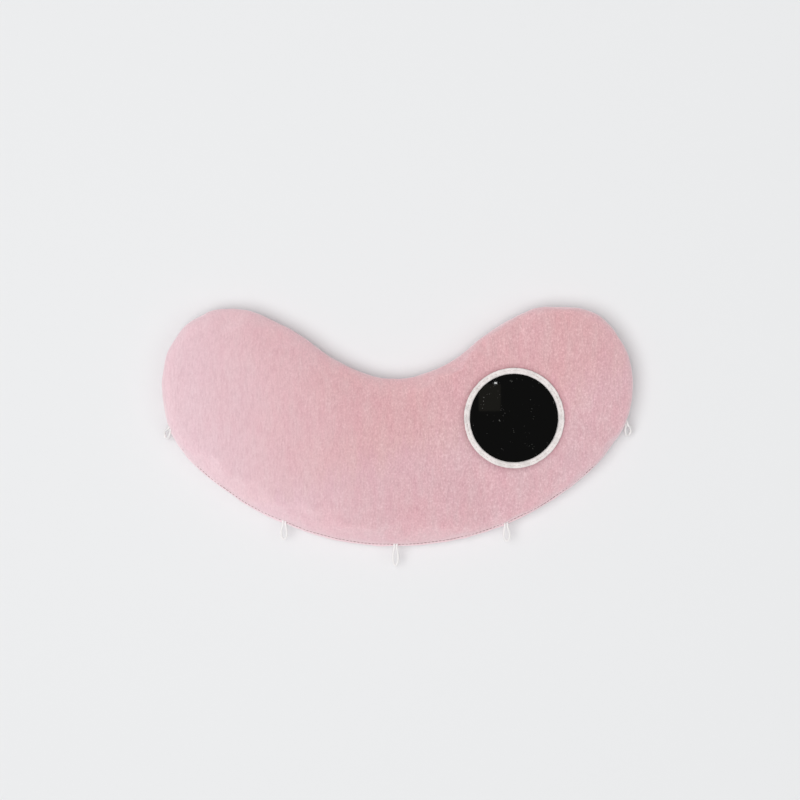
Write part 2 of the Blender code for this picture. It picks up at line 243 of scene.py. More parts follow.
def crescent_skin(rings, crossing):
    """Points and faces of an open skin: loops from the seam inwards, then ribs across the middle.

    crossing gives the heights of the points between the two sides of the last loop."""
    verts = np.concatenate(rings)
    count = len(rings)
    faces = []
    for index in range(count - 1):
        low, high = index * AROUND, (index + 1) * AROUND
        for step in range(AROUND):
            after = (step + 1) % AROUND
            faces.append((low + step, low + after, high + after, high + step))
    base = (count - 1) * AROUND
    last = rings[-1]
    extra = []
    columns = {}
    for step in range(-HALF // 2, HALF // 2 + 1):
        first, second = step % AROUND, (HALF - step) % AROUND
        column = [base + first]
        if first != second:
            for rib in range(1, RIBS):
                column.append(len(verts) + len(extra))
                extra.append(last[first] + (last[second] - last[first]) * rib / RIBS)
            column.append(base + second)
        columns[step] = column
    for step in range(-HALF // 2, HALF // 2):
        near, far = columns[step], columns[step + 1]
        if len(near) == 1 or len(far) == 1:
            tip, fan = (near[0], far) if len(near) == 1 else (far[0], near)
            for rib in range(RIBS):
                pair = (fan[rib], fan[rib + 1])
                faces.append((tip, *pair) if len(near) == 1 else (tip, *pair[::-1]))
        else:
            for rib in range(RIBS):
                faces.append((near[rib], far[rib], far[rib + 1], near[rib + 1]))
    extra = np.array(extra)
    extra[:, 2] = crossing(extra)
    return np.concatenate((verts, extra)), faces


def front_skin():
    """The front panel's outside, from the seam's valley over the rolled edge to the flat top."""
    widest = SEAM_HEIGHT + FRONT_LIP
    rings = []
    insets = []
    for turn in np.radians((0, 30, 60)):
        inset = SEAM_DEPTH * (1 - math.sin(turn))
        height = SEAM_HEIGHT + SEAM_GAP + (FRONT_LIP - SEAM_GAP) * (1 - math.cos(turn))
        rings.append(ring(inset, height))
        insets.append(inset)
    for turn in np.radians(np.linspace(0, 90, ROLL_RINGS)):
        inset = FRONT_ROLL * (1 - math.cos(turn))
        rings.append(ring(inset, widest + FRONT_RISE * math.sin(turn)))
        insets.append(inset)
    for inset in np.linspace(FRONT_ROLL, SPINE, FRONT_FLAT_RINGS)[1:]:
        rings.append(ring(inset, PANEL_TOP))
        insets.append(inset)
    for loop, inset in zip(rings, insets):
        loop[:, 2] += crown(loop, np.full(AROUND, inset))
    return crescent_skin(rings, lambda p: PANEL_TOP + crown(p, np.full(len(p), SPINE)))


def back_skin():
    """The back panel's outside, from the seam's valley round the rolled edge to the flat underside."""
    widest = SEAM_HEIGHT - BACK_LIP
    rings = []
    for turn in np.radians((0, 25, 50, 75)):
        inset = SEAM_DEPTH * (1 - math.sin(turn))
        height = SEAM_HEIGHT - SEAM_GAP - (BACK_LIP - SEAM_GAP) * (1 - math.cos(turn))
        rings.append(ring(inset, height, 1 - math.sin(turn)))
    for turn in np.radians(np.linspace(0, 90, ROLL_RINGS)):
        rings.append(ring(BACK_ROLL * (1 - math.cos(turn)), widest * (1 - math.sin(turn)), 0))
    for inset in np.linspace(BACK_ROLL, SPINE, BACK_FLAT_RINGS)[1:]:
        rings.append(ring(inset, 0.0, 0))
    verts, faces = crescent_skin(rings, lambda p: np.zeros(len(p)))
    return verts, [face[::-1] for face in faces]


def vertex_normals(made):
    found = np.empty(len(made.data.vertices) * 3)
    made.data.vertices.foreach_get("normal", found)
    return found.reshape(-1, 3)


def points_of(made):
    found = np.empty(len(made.data.vertices) * 3)
    made.data.vertices.foreach_get("co", found)
    return found.reshape(-1, 3)


def set_points(made, points):
    made.data.vertices.foreach_set("co", np.asarray(points, float).ravel())
    made.data.update()


def apply_modifiers(made):
    graph = bpy.context.evaluated_depsgraph_get()
    mesh = bpy.data.meshes.new_from_object(made.evaluated_get(graph))
    old = made.data
    made.modifiers.clear()
    made.data = mesh
    bpy.data.meshes.remove(old)
    made.data.shade_smooth()


def thicken(made, thickness):
    shell = made.modifiers.new("thickness", "SOLIDIFY")
    shell.thickness = thickness
    shell.offset = -1
    shell.use_even_offset = False
    apply_modifiers(made)


def subdivide(made):
    finer = made.modifiers.new("finer", "SUBSURF")
    finer.levels = 1
    finer.render_levels = 1
    apply_modifiers(made)


def open_window(made):
    """Takes the round window out of an open skin and draws its rim onto a circle."""
    shape = bmesh.new()
    shape.from_mesh(made.data)
    inside = []
    for vert in shape.verts:
        if (vert.co.xy - MIRROR).length < WINDOW_RADIUS and vert.co.z > SEAM_HEIGHT:
            inside.append(vert)
    bmesh.ops.delete(shape, geom=inside, context="VERTS")
    for edge in shape.edges:
        if edge.is_boundary:
            for vert in edge.verts:
                if vert.co.z > RIM_ABOVE:
                    out = (vert.co.xy - MIRROR).normalized() * WINDOW_RADIUS + MIRROR
                    vert.co.x, vert.co.y = out
    shape.to_mesh(made.data)
    shape.free()
    made.data.update()


# Materials

def node(tree, kind, **values):
    made = tree.nodes.new("ShaderNode" + kind)
    for name, value in values.items():
        if hasattr(made, name):
            setattr(made, name, value)
        else:
            made.inputs[name.replace("_", " ")].default_value = value
    return made


def start_material(name):
    made = bpy.data.materials.new(name)
    made.use_nodes = True
    tree = made.node_tree
    return made, tree, tree.nodes["Principled BSDF"]


def stretched_noise(tree, scale, detail=2.0, roughness=0.5):
    """Noise over object space; scale is how many times it repeats in a metre along each axis."""
    place = node(tree, "TexCoord")
    stretch = node(tree, "Mapping")
    stretch.inputs["Scale"].default_value = scale
    tree.links.new(place.outputs["Object"], stretch.inputs["Vector"])
    made = node(tree, "TexNoise", Scale=1.0, Detail=detail, Roughness=roughness)
    tree.links.new(stretch.outputs["Vector"], made.inputs["Vector"])
    return made.outputs["Fac"]


def ramp(tree, value, *stops):
    made = node(tree, "ValToRGB")
    while len(made.color_ramp.elements) < len(stops):
        made.color_ramp.elements.new(0.5)
    for element, (position, colour) in zip(made.color_ramp.elements, stops):
        element.position = position
        element.color = colour
    tree.links.new(value, made.inputs["Fac"])
    return made.outputs["Color"]


def span(tree, value, low, high, to_low, to_high):
    made = node(tree, "MapRange")
    for name, number in zip(("From Min", "From Max", "To Min", "To Max"), (low, high, to_low, to_high)):
        made.inputs[name].default_value = number
    tree.links.new(value, made.inputs["Value"])
    return made.outputs["Result"]


def blend_colours(tree, kind, share, first, second):
    made = node(tree, "Mix", data_type="RGBA", blend_type=kind)
    for socket, value in ((made.inputs[0], share), (made.inputs[6], first), (made.inputs[7], second)):
        if isinstance(value, bpy.types.NodeSocket):
            tree.links.new(value, socket)
        else:
            socket.default_value = value
    return made.outputs[2]


def sum_of(tree, first, second, kind="ADD"):
    made = node(tree, "Math", operation=kind)
    for socket, value in zip(made.inputs, (first, second)):
        if isinstance(value, bpy.types.NodeSocket):
            tree.links.new(value, socket)
        else:
            socket.default_value = value
    return made.outputs[0]


def bump(tree, shader, height, distance, strength=1.0):
    made = node(tree, "Bump", Distance=distance, Strength=strength)
    tree.links.new(height, made.inputs["Height"])
    tree.links.new(made.outputs["Normal"], shader.inputs["Normal"])


def along(tree, place, direction):
    """How far a point lies along a direction, in metres."""
    made = node(tree, "VectorMath", operation="DOT_PRODUCT")
    tree.links.new(place.outputs["Object"], made.inputs[0])
    made.inputs[1].default_value = direction
    return made.outputs["Value"]


def mirror_distance(tree, place):
    """How far a point lies from the mirror's axis, in metres."""
    level = node(tree, "VectorMath", operation="MULTIPLY")
    tree.links.new(place.outputs["Object"], level.inputs[0])
    level.inputs[1].default_value = (1, 1, 0)
    made = node(tree, "VectorMath", operation="DISTANCE")
    tree.links.new(level.outputs[0], made.inputs[0])
    made.inputs[1].default_value = (MIRROR.x, MIRROR.y, 0)
    return made.outputs["Value"]


def velvet_tone(tree, place):
    """Soft mottling with long strokes, cooler towards the lower right and warmer towards the upper left."""
    mottle = stretched_noise(tree, (20, 15, 20), 3.0)
    tone = ramp(
        tree,
        mottle,
        (0.34, srgb(219, 176, 182)),
        (0.50, srgb(219, 176, 181)),
        (0.64, srgb(220, 174, 179)),
    )
    strokes = stretched_noise(tree, (90, 20, 90), 4.0, 0.62)
    stroke_shade = ramp(
        tree,
        strokes,
        (0.33, (0.98, 0.93, 0.95, 1)),
        (0.50, (0.995, 1, 1, 1)),
        (0.67, (1.0, 1.065, 1.05, 1)),
    )
    tone = blend_colours(tree, "MULTIPLY", 1.0, tone, stroke_shade)
    slant = along(tree, place, (-0.35, 0.94, 0.0))
    wander = sum_of(tree, slant, span(tree, strokes, 0.0, 1.0, -0.05, 0.05))
    warmth = ramp(
        tree,
        span(tree, wander, -0.09, 0.06, 0.0, 1.0),
        (0.05, (0.975, 1.01, 1.02, 1)),
        (0.40, (0.985, 1.01, 1.015, 1)),
        (0.57, (0.98, 0.97, 0.945, 1)),
        (0.90, (0.98, 0.945, 0.925, 1)),
    )
    return blend_colours(tree, "MULTIPLY", 1.0, tone, warmth)


def crushed_pile_and_shade_round_binding(tree, place):
    """Painted shade round the window next to the binding, where the pile is also pressed flat: darker close
    to the tape.
    """
    return ramp(
        tree,
        span(tree, mirror_distance(tree, place), BINDING_OUTER, BINDING_OUTER + CRUSHED_AND_SHADED_WIDTH, 0.0, 1.0),
        (0.15, (0.80, 0.77, 0.78, 1)),
        (0.45, (0.88, 0.86, 0.87, 1)),
        (1.0, (1, 1, 1, 1)),
    )


def pile_sheen(tree):
    """Painted sheen: share of a light pink, standing for the pale pile, mixed in where the velvet turns away
    from the eye.
    """
    turned = node(tree, "LayerWeight", Blend=0.5)
    made = node(tree, "ValToRGB")
    for position, value in ((0.03, 0.0), (0.16, 0.09), (0.5, 0.28), (0.85, 0.5)):
        element = made.color_ramp.elements.new(position)
        element.color = (value, value, value, 1)
    made.color_ramp.elements[-1].color = (0.62, 0.62, 0.62, 1)
    tree.links.new(turned.outputs["Facing"], made.inputs["Fac"])
    return made.outputs["Color"]


def painted_edge_lift(tree, place):
    """Painted light: a slight lift of the tone where the cloth's own surface slopes down, brightening its
    rolled edges.
    """
    upward = node(tree, "SeparateXYZ")
    tree.links.new(place.outputs["Normal"], upward.inputs[0])
    return ramp(
        tree,
        span(tree, upward.outputs["Z"], 0.0, 1.0, 1.0, 0.0),
        (0.01, (1, 1, 1, 1)),
        (0.10, (1.05, 1.035, 1.035, 1)),
        (0.50, (1.08, 1.06, 1.065, 1)),
    )


def velvet(name, painted_sheen_share):
    """Short-pile velvet: fine streaks along the nap, painted light towards the left that also stands for
    pile brushed one way, painted shade by the binding, painted sheen where it turns away and a painted lift
    where it slopes down.
    """
    made, tree, shader = start_material(name)
    place = node(tree, "TexCoord")
    towards_left = along(tree, place, (-0.95, -0.2, 0.0))
    # Painted light: the velvet turns lighter towards the left, standing for light from that side as well as
    # pile brushed one way.
    painted_left_light_and_nap = span(tree, towards_left, 0.03, 0.2, 0.0, 0.52)
    nap = blend_colours(tree, "MIX", painted_left_light_and_nap, velvet_tone(tree, place), srgb(233, 211, 221))
    streaks = stretched_noise(tree, (620, 130, 350), 3.0, 0.6)
    streak_shade = ramp(
        tree,
        streaks,
        (0.3, (0.92, 0.90, 0.91, 1)),
        (0.5, (1, 1, 1, 1)),
        (0.7, (1.05, 1.06, 1.06, 1)),
    )
    nap = blend_colours(tree, "MULTIPLY", 1.0, nap, streak_shade)
    curls = stretched_noise(tree, (560, 420, 560), 2.0, 0.7)
    curl_shade = ramp(
        tree,
        curls,
        (0.3, (0.90, 0.87, 0.88, 1)),
        (0.5, (0.985, 0.98, 0.98, 1)),
        (0.72, (1.15, 1.23, 1.22, 1)),
    )
    upright = span(tree, towards_left, -0.04, 0.15, 1.0, 0.35)
    nap = blend_colours(tree, "MULTIPLY", upright, nap, curl_shade)
    # Painted shade next to the binding, where the pile is also pressed flat.
    nap = blend_colours(tree, "MULTIPLY", 1.0, nap, crushed_pile_and_shade_round_binding(tree, place))
    # Painted sheen: the back panel's copy of the velvet is mixed towards a light pink, standing for sheen
    # and bounced light on its rim.
    nap = blend_colours(tree, "MIX", painted_sheen_share, nap, srgb(246, 230, 234))
    # Painted sheen where the velvet turns away from the eye.
    colour = blend_colours(tree, "MIX", pile_sheen(tree), nap, srgb(255, 238, 242))
    # Painted light: brighter where the surface slopes down over the rolled edges.
    colour = blend_colours(tree, "MULTIPLY", 1.0, colour, painted_edge_lift(tree, place))
    tree.links.new(colour, shader.inputs["Base Color"])
    tree.links.new(span(tree, streaks, 0.3, 0.7, 0.78, 0.94), shader.inputs["Roughness"])
    shader.inputs["Specular IOR Level"].default_value = 0.1
    shader.inputs["Sheen Weight"].default_value = 0.8
    shader.inputs["Sheen Roughness"].default_value = 0.4
    shader.inputs["Sheen Tint"].default_value = srgb(255, 230, 234)
    height = sum_of(tree, sum_of(tree, streaks, 0.4, "MULTIPLY"), sum_of(tree, curls, 0.6, "MULTIPLY"))
    bump(tree, shader, height, 0.0007, 0.5)
    return made


# Length that one band of Blender's wave texture covers at scale 1
WAVE_PERIOD = 0.314


def cotton(name, colour, pitch, shade=0.06):
    """Plain woven cotton with a slightly uneven tone."""
    made, tree, shader = start_material(name)
    tone = stretched_noise(tree, (130, 130, 130), 4.0, 0.62)
    dark = tuple(c * (1 - shade) for c in colour[:3]) + (1.0,)
    base = ramp(tree, tone, (0.32, dark), (0.58, colour))
    threads = []
    place = node(tree, "TexCoord")
    for direction in ("X", "Y"):
        wave = node(tree, "TexWave", bands_direction=direction, Distortion=1.2, Detail=1.0)
        wave.inputs["Scale"].default_value = WAVE_PERIOD / pitch
        tree.links.new(place.outputs["Object"], wave.inputs["Vector"])
        threads.append(wave.outputs["Fac"])
    weave = sum_of(tree, threads[0], threads[1], "MULTIPLY")
    shadow = span(tree, weave, 0.0, 0.5, 0.95, 1.0)
    grey = node(tree, "CombineColor")
    for socket in grey.inputs[:3]:
        tree.links.new(shadow, socket)
    toned = blend_colours(tree, "MULTIPLY", 1.0, base, grey.outputs[0])
    tree.links.new(toned, shader.inputs["Base Color"])
    tree.links.new(span(tree, weave, 0, 1, 0.95, 0.8), shader.inputs["Roughness"])
    shader.inputs["Specular IOR Level"].default_value = 0.15
    shader.inputs["Sheen Weight"].default_value = 0.12
    bump(tree, shader, weave, 0.0002, 0.6)
    return made


def twisted(name, colour, fuzz, hollow=0.86):
    """Spun thread or cord: fine fibres with darker hollows between the strands."""
    made, tree, shader = start_material(name)
    fibres = stretched_noise(tree, (fuzz, fuzz, fuzz), 3.0, 0.65)
    dark = tuple(c * hollow for c in colour[:3]) + (1.0,)
    tree.links.new(ramp(tree, fibres, (0.3, dark), (0.6, colour)), shader.inputs["Base Color"])
    tree.links.new(span(tree, fibres, 0.2, 0.8, 0.95, 0.75), shader.inputs["Roughness"])
    shader.inputs["Specular IOR Level"].default_value = 0.15
    shader.inputs["Sheen Weight"].default_value = 0.2
    bump(tree, shader, fibres, 0.0002, 0.5)
    return made


def mirror_glass():
    """Silvered acrylic with a little dust and faint ripples."""
    made, tree, shader = start_material("mirror")
    place = node(tree, "TexCoord")
    specks = node(tree, "TexVoronoi", Scale=420.0, Randomness=1.0)
    tree.links.new(place.outputs["Object"], specks.inputs["Vector"])
    clumps = stretched_noise(tree, (60, 60, 60), 2.0)
    size = span(tree, clumps, 0.45, 0.75, 0.0, 0.2)
    dust = sum_of(tree, specks.outputs["Distance"], size, "LESS_THAN")
    base = blend_colours(tree, "MIX", dust, (0.86, 0.87, 0.87, 1), (0.14, 0.14, 0.13, 1))
    tree.links.new(base, shader.inputs["Base Color"])
    tree.links.new(span(tree, dust, 0, 1, 1.0, 0.0), shader.inputs["Metallic"])
    haze = stretched_noise(tree, (18, 18, 18), 3.0)
    dull = span(tree, haze, 0.3, 0.7, 0.008, 0.02)
    tree.links.new(sum_of(tree, dull, dust), shader.inputs["Roughness"])
    bump(tree, shader, stretched_noise(tree, (22, 22, 22), 1.0), 0.0002, 0.1)
    return made


def fibre_fill():
    made, tree, shader = start_material("fibre")
    tufts = stretched_noise(tree, (160, 160, 160), 4.0, 0.7)
    tone = ramp(tree, tufts, (0.3, srgb(226, 225, 221)), (0.65, srgb(246, 245, 242)))
    tree.links.new(tone, shader.inputs["Base Color"])
    tree.links.new(span(tree, tufts, 0.2, 0.8, 1.0, 0.85), shader.inputs["Roughness"])
    bump(tree, shader, tufts, 0.002, 0.7)
    return made


FRONT_VELVET = velvet("velvet", 0.0)
# The back panel's velvet is a lighter copy of the front's, with painted sheen.
BACK_VELVET = velvet("back_velvet", 0.45)
TAPE = cotton("binding", srgb(243, 236, 234), 0.0006, 0.20)
LINING = cotton("lining", srgb(232, 230, 224), 0.0009)
RING_THREAD = twisted("thread", srgb(216, 206, 202), 2500)
# The seam thread is darker than the velvet: partly its own colour, partly painted shade of the stitches in
# the seam's valley.
SEAM_THREAD_AND_SHADE = twisted("seam_thread", srgb(158, 122, 124), 2500)
CORD_LOOK = twisted("cord", srgb(244, 242, 241), 1800, 0.88)
MIRROR_LOOK = mirror_glass()
FIBRE = fibre_fill()


# Panels

STUFFING_PRESSURE = 4.0
FRONT_CAP = 0.0026
BACK_CAP = 0.0012


def inflate(made, ease, pressure, cap, frames=20):
    """Lets a skin settle as cloth under the stuffing's pressure; no point moves further than ease * cap."""
    start = points_of(made)
    pins = made.vertex_groups.new(name="held")
    pins.add([int(index) for index in np.flatnonzero(ease == 0)], 1.0, "REPLACE")
    modifier = made.modifiers.new("cloth", "CLOTH")
    cloth = modifier.settings
    cloth.vertex_group_mass = "held"
    cloth.quality = 6
    cloth.mass = 0.3
    cloth.tension_stiffness = 12
    cloth.compression_stiffness = 12
    cloth.shear_stiffness = 5
    cloth.bending_stiffness = 3.0
    cloth.shrink_min = -0.03
    cloth.use_pressure = True
    cloth.uniform_pressure_force = pressure
    cloth.effector_weights.gravity = 0
    modifier.point_cache.frame_start = 1
    modifier.point_cache.frame_end = frames
    for number in range(1, frames + 1):
        bpy.context.scene.frame_set(number)
    graph = bpy.context.evaluated_depsgraph_get()
    settled = np.empty(len(start) * 3)
    made.evaluated_get(graph).data.vertices.foreach_get("co", settled)
    move = settled.reshape(-1, 3) - start
    far = np.maximum(np.linalg.norm(move, axis=1), 1e-9)
    made.modifiers.clear()
    made.vertex_groups.clear()
    set_points(made, start + move * (ease * cap * np.tanh(far / cap) / far)[:, None])
    bpy.context.scene.frame_set(1)


# Points between two stations, for finding how far in from the outline a point lies
EDGE_PARTS = 8
EDGE_TREE = kdtree.KDTree(AROUND * EDGE_PARTS)
for index in range(AROUND * EDGE_PARTS):
    step, share = divmod(index, EDGE_PARTS)
    flat_point = EDGE[step] + (EDGE[(step + 1) % AROUND] - EDGE[step]) * share / EDGE_PARTS
    EDGE_TREE.insert((*flat_point, 0.0), index)
EDGE_TREE.balance()


# Unevenness of the panels: size of each kind along the surface and how far it moves it
GATHER_SIZE, GATHER_RISE = 0.011, 0.0008
SLOW_SIZE, SLOW_RISE = 0.055, 0.0009
LUMP_SIZE, LUMP_RISE = 0.022, 0.0003
CREASE_SIZE, CREASE_RISE = 0.005, 0.00036
# Creases that fan out below the notch: reach to each side, distance in from the edge and spread about it
FAN_REACH, FAN_DEPTH, FAN_SPREAD = 0.045, 0.018, 0.017


def bell(distance, reach):
    return np.exp(-((distance / reach) ** 2))


def puckered(made, seed):
    """Small gathers along the seam, creases below the notch and slow unevenness of the stuffing."""
    points = points_of(made)
    normals = vertex_normals(made)
    depth = np.array([EDGE_TREE.find((p[0], p[1], 0.0))[2] for p in points])
    seam = bell(points[:, 2] - SEAM_HEIGHT, 0.011) * bell(depth, 0.012)
    gathers = wobble(points * np.array((1, 1, 0.2)), GATHER_SIZE, seed) * GATHER_RISE * seam
    slow = wobble(points, SLOW_SIZE, seed + 1) * SLOW_RISE * smooth(depth / 0.015)
    lumps = wobble(points, LUMP_SIZE, seed + 2) * LUMP_RISE * smooth(depth / 0.006)
    calm = smooth((from_mirror(points) - BINDING_OUTER) / 0.012)
    lying = smooth(points[:, 2] / 0.005)
    round_notch = points[:, :2] - np.array((0.0, NOTCH_Y + NOTCH_RADIUS))
    bearing = np.arctan2(round_notch[:, 0], -round_notch[:, 1]) * NOTCH_RADIUS
    fan = bell(bearing, FAN_REACH) * bell(depth - FAN_DEPTH, FAN_SPREAD)
    unrolled = np.c_[bearing, depth * 0.15, np.zeros(len(points))]
    creases = wobble(unrolled, CREASE_SIZE, seed + 3) * CREASE_RISE * fan
    move = (gathers + creases + (slow + lumps) * calm) * lying
    set_points(made, points + normals * move[:, None])


def front_panel():
    verts, faces = front_skin()
    made = new_object("front_velvet", verts, faces, FRONT_VELVET)
    points = points_of(made)
    rows_in = np.arange(len(points)) // AROUND
    ease = smooth((rows_in - 2) / 7) * smooth((from_mirror(points) - BINDING_OUTER - 0.004) / 0.012)
    inflate(made, ease, STUFFING_PRESSURE, FRONT_CAP)
    subdivide(made)
    puckered(made, 3)
    points = points_of(made)
    away = from_mirror(points) - BINDING_OUTER
    top = points[:, 2] > TOP_ABOVE
    swell = 0.0012 * bell(away - 0.010, 0.007) - 0.0009 * bell(away, 0.0025)
    points[:, 2] += np.where(top, swell, 0.0)
    set_points(made, points)
    open_window(made)
    thicken(made, PANEL_THICK)
    subdivide(made)
    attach(made, "cushion")
    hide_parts("front_panel")


def back_panel():
    verts, faces = back_skin()
    made = new_object("back_velvet", verts, faces, BACK_VELVET)
    points = points_of(made)
    rows_in = np.arange(len(points)) // AROUND
    ease = smooth((rows_in - 3) / 5) * smooth((points[:, 2] - 0.004) / 0.004)
    inflate(made, ease, STUFFING_PRESSURE, BACK_CAP)
    subdivide(made)
    puckered(made, 9)
    thicken(made, PANEL_THICK)
    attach(made, "cushion")
    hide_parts("back_panel")


front_panel()
back_panel()


# Mirror window

def round_band(name, section, look, steps=288):
    """A closed band about the mirror's axis; section gives (radius, height) points for an angle."""
    rows = []
    for step in range(steps):
        angle = 2 * math.pi * step / steps
        for radius, height in section(angle):
            x = MIRROR.x + radius * math.cos(angle)
            y = MIRROR.y + radius * math.sin(angle)
            rows.append((x, y, height))
    count = len(rows) // steps
    faces = []
    for step in range(steps):
        near, far = step * count, (step + 1) % steps * count
        for index in range(count):
            after = (index + 1) % count
            faces.append((near + index, near + after, far + after, far + index))
    return new_object(name, rows, faces, look)


STITCHES = 62
STITCH_SHARE = 0.36
STITCH_SINK = 0.0002
STITCH_BOW = 0.00025
STITCH_THICK = 0.00034
TAPE_THICK = 0.0009
TAPE_STAND = 0.0012
TAPE_TOP = PANEL_TOP + TAPE_STAND
TAPE_LOW = PANEL_TOP - PANEL_THICK - TAPE_STAND
TAPE_OVERHANG = 0.0006
TAPE_PUFF = 0.0006
GROOVE_DEPTH = 0.00038
GROOVE_WIDTH = 0.09
# Deeper creases of the tape: place and width, in degrees round the window
TAPE_CREASES = ((188, 3.0), (196, 2.5), (12, 3.0), (25, 2.5), (60, 2.2), (140, 2.4), (300, 2.2))
# Points across the tape's top, as shares of its width from the outside in
TAPE_SHARES = (0.0, 0.12, 0.3, 0.44, 0.5, 0.56, 0.7, 0.88, 1.0)
STITCH_RADIUS = (VISIBLE_RADIUS + BINDING_OUTER) / 2 + 0.0002


def tape_wrinkle(angle):
    """Creases across the folded tape: many faint ones and a few deeper where it was eased round."""
    round_point = Vector((math.cos(angle), math.sin(angle), 0))
    faint = noise.noise(round_point * 9) * 0.5 + noise.noise(round_point * 21 + Vector((4, 1, 2))) * 0.5
    deep = 0.0
    for place, width in TAPE_CREASES:
        turn = (math.degrees(angle) - place + 180) % 360 - 180
        deep += math.exp(-((turn / width) ** 2))
    return faint, deep


def tape_section(angle):
    """The folded tape cut across: its stitched top, its inner fold and the part under the panel."""
    faint, deep = tape_wrinkle(angle)
    dimple = 0.5 + 0.5 * math.cos(STITCHES * angle)
    inner = VISIBLE_RADIUS + 0.0002 * faint
    outer = BINDING_OUTER + TAPE_OVERHANG + 0.0004 * faint - 0.0004 * deep
    puff = TAPE_PUFF * (1 - 0.7 * dimple) + 0.0005 * faint - 0.0009 * deep
    points = []
    for share in TAPE_SHARES:
        radius = outer + (inner - outer) * share
        round_off = math.sqrt(max(0.0, 1 - (2 * share - 1) ** 6))
        groove = -GROOVE_DEPTH * math.exp(-(((share - 0.5) / GROOVE_WIDTH) ** 2))
        height = TAPE_TOP - TAPE_THICK + (TAPE_THICK + puff) * round_off + groove
        points.append((radius, height))
    points.append((inner - 0.0001, PANEL_TOP - PANEL_THICK / 2))
    points.append((inner, TAPE_LOW + 0.0002))
    points.append((inner + 0.0006, TAPE_LOW))
    points.append((outer - 0.0006, TAPE_LOW))
    points.append((outer - 0.0003, TAPE_LOW + TAPE_THICK))
    points.append((WINDOW_RADIUS - 0.0001, TAPE_LOW + TAPE_THICK))
    points.append((WINDOW_RADIUS - 0.0001, TAPE_TOP - TAPE_THICK))
    return points


tape = round_band("window_tape", tape_section, TAPE)
subdivide(tape)
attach(tape, "cushion")
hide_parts("window_binding")


def stitch_row(name, places, look, radius, sides=8, sections=7):
    """Separate stitches, each a short bowed thread between two points with an outward direction."""
    verts = []
    faces = []
    for start, end, up, bow in places:
        run = end - start
        side = run.cross(up).normalized()
        base = len(verts)
        for section in range(sections):
            share = section / (sections - 1)
            taper = max(0.25, math.sqrt(max(0.0, 1 - (2 * share - 1) ** 4)))
            middle = start + run * share + up * bow * math.sin(math.pi * share)
            for corner in range(sides):
                turn = 2 * math.pi * corner / sides
                spread = side * math.cos(turn) + up * math.sin(turn)
                verts.append(middle + spread * radius * taper)
        for section in range(sections - 1):
            for corner in range(sides):
                after = (corner + 1) % sides
                low, high = base + section * sides, base + (section + 1) * sides
                faces.append((low + corner, low + after, high + after, high + corner))
        faces.append(tuple(base + corner for corner in reversed(range(sides))))
        faces.append(tuple(base + (sections - 1) * sides + corner for corner in range(sides)))
    return new_object(name, verts, faces, look)


def binding_stitches():
    places = []
    for stitch in range(STITCHES):
        middle = 2 * math.pi * (stitch + 0.5) / STITCHES
        half = 2 * math.pi / STITCHES * STITCH_SHARE
        ends = []
        for angle in (middle - half, middle + half):
            x = MIRROR.x + STITCH_RADIUS * math.cos(angle)
            y = MIRROR.y + STITCH_RADIUS * math.sin(angle)
            ends.append(Vector((x, y, TAPE_TOP - STITCH_SINK)))
        places.append((ends[0], ends[1], Vector((0, 0, 1)), STITCH_BOW))
    made = stitch_row("binding_stitches", places, RING_THREAD, STITCH_THICK)
    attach(made, "cushion")
    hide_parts("binding_stitch")


binding_stitches()


# Seam

SEAM_PITCH = 0.0040
SEAM_HALF = 0.0015
SEAM_THICK = 0.0003


def seam_stitches():
    """Stitches in the valley between the panels. Along the lower edge they show from above."""
    below = np.clip(-NORMALS[:, 1], 0, 1)
    loop = ring(0.0012 - 0.0016 * below, SEAM_HEIGHT - 0.0003 * below)
    length = ALONG[-1] + np.linalg.norm(EDGE[-1] - EDGE[0])
    count = int(length / SEAM_PITCH)
    stations = np.append(ALONG, length)
    closed = np.vstack((loop, loop[:1]))
    outward = np.vstack((NORMALS, NORMALS[:1]))

    def at(distance):
        x, y, z = (np.interp(distance % length, stations, closed[:, axis]) for axis in range(3))
        return Vector((x, y, z))

    places = []
    for stitch in range(count):
        middle = (stitch + 0.5) / count * length
        out = Vector([np.interp(middle, stations, outward[:, axis]) for axis in range(2)] + [0.0])
        half = SEAM_HALF + 0.0003 * noise.noise(Vector((stitch * 0.37, 0.5, 0.2)))
        shift = out.normalized() * 0.0004 * noise.noise(Vector((stitch * 0.21, 7.5, 0.2)))
        places.append((at(middle - half) + shift, at(middle + half) + shift, out.normalized(), SEAM_THICK))
    made = stitch_row("seam_stitches", places, SEAM_THREAD_AND_SHADE, SEAM_THICK, sides=6, sections=5)
    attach(made, "cushion")
    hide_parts("seam_stitch")


seam_stitches()


# Filling

FILLING_GAP = 0.0022
FILLING_DRAW = 0.008
FILLING_RINGS = 9
HOLLOW_RADIUS = 0.062
HOLLOW_EASE = 0.008
HOLLOW_DEPTH = 0.006
FIBRE_LUMP_SIZE, FIBRE_LUMP_RISE = 0.020, 0.0005


def mirror_hollow(points):
    """How far the filling gives way below the mirror's pocket."""
    return smooth((HOLLOW_RADIUS - from_mirror(points)) / HOLLOW_EASE) * HOLLOW_DEPTH


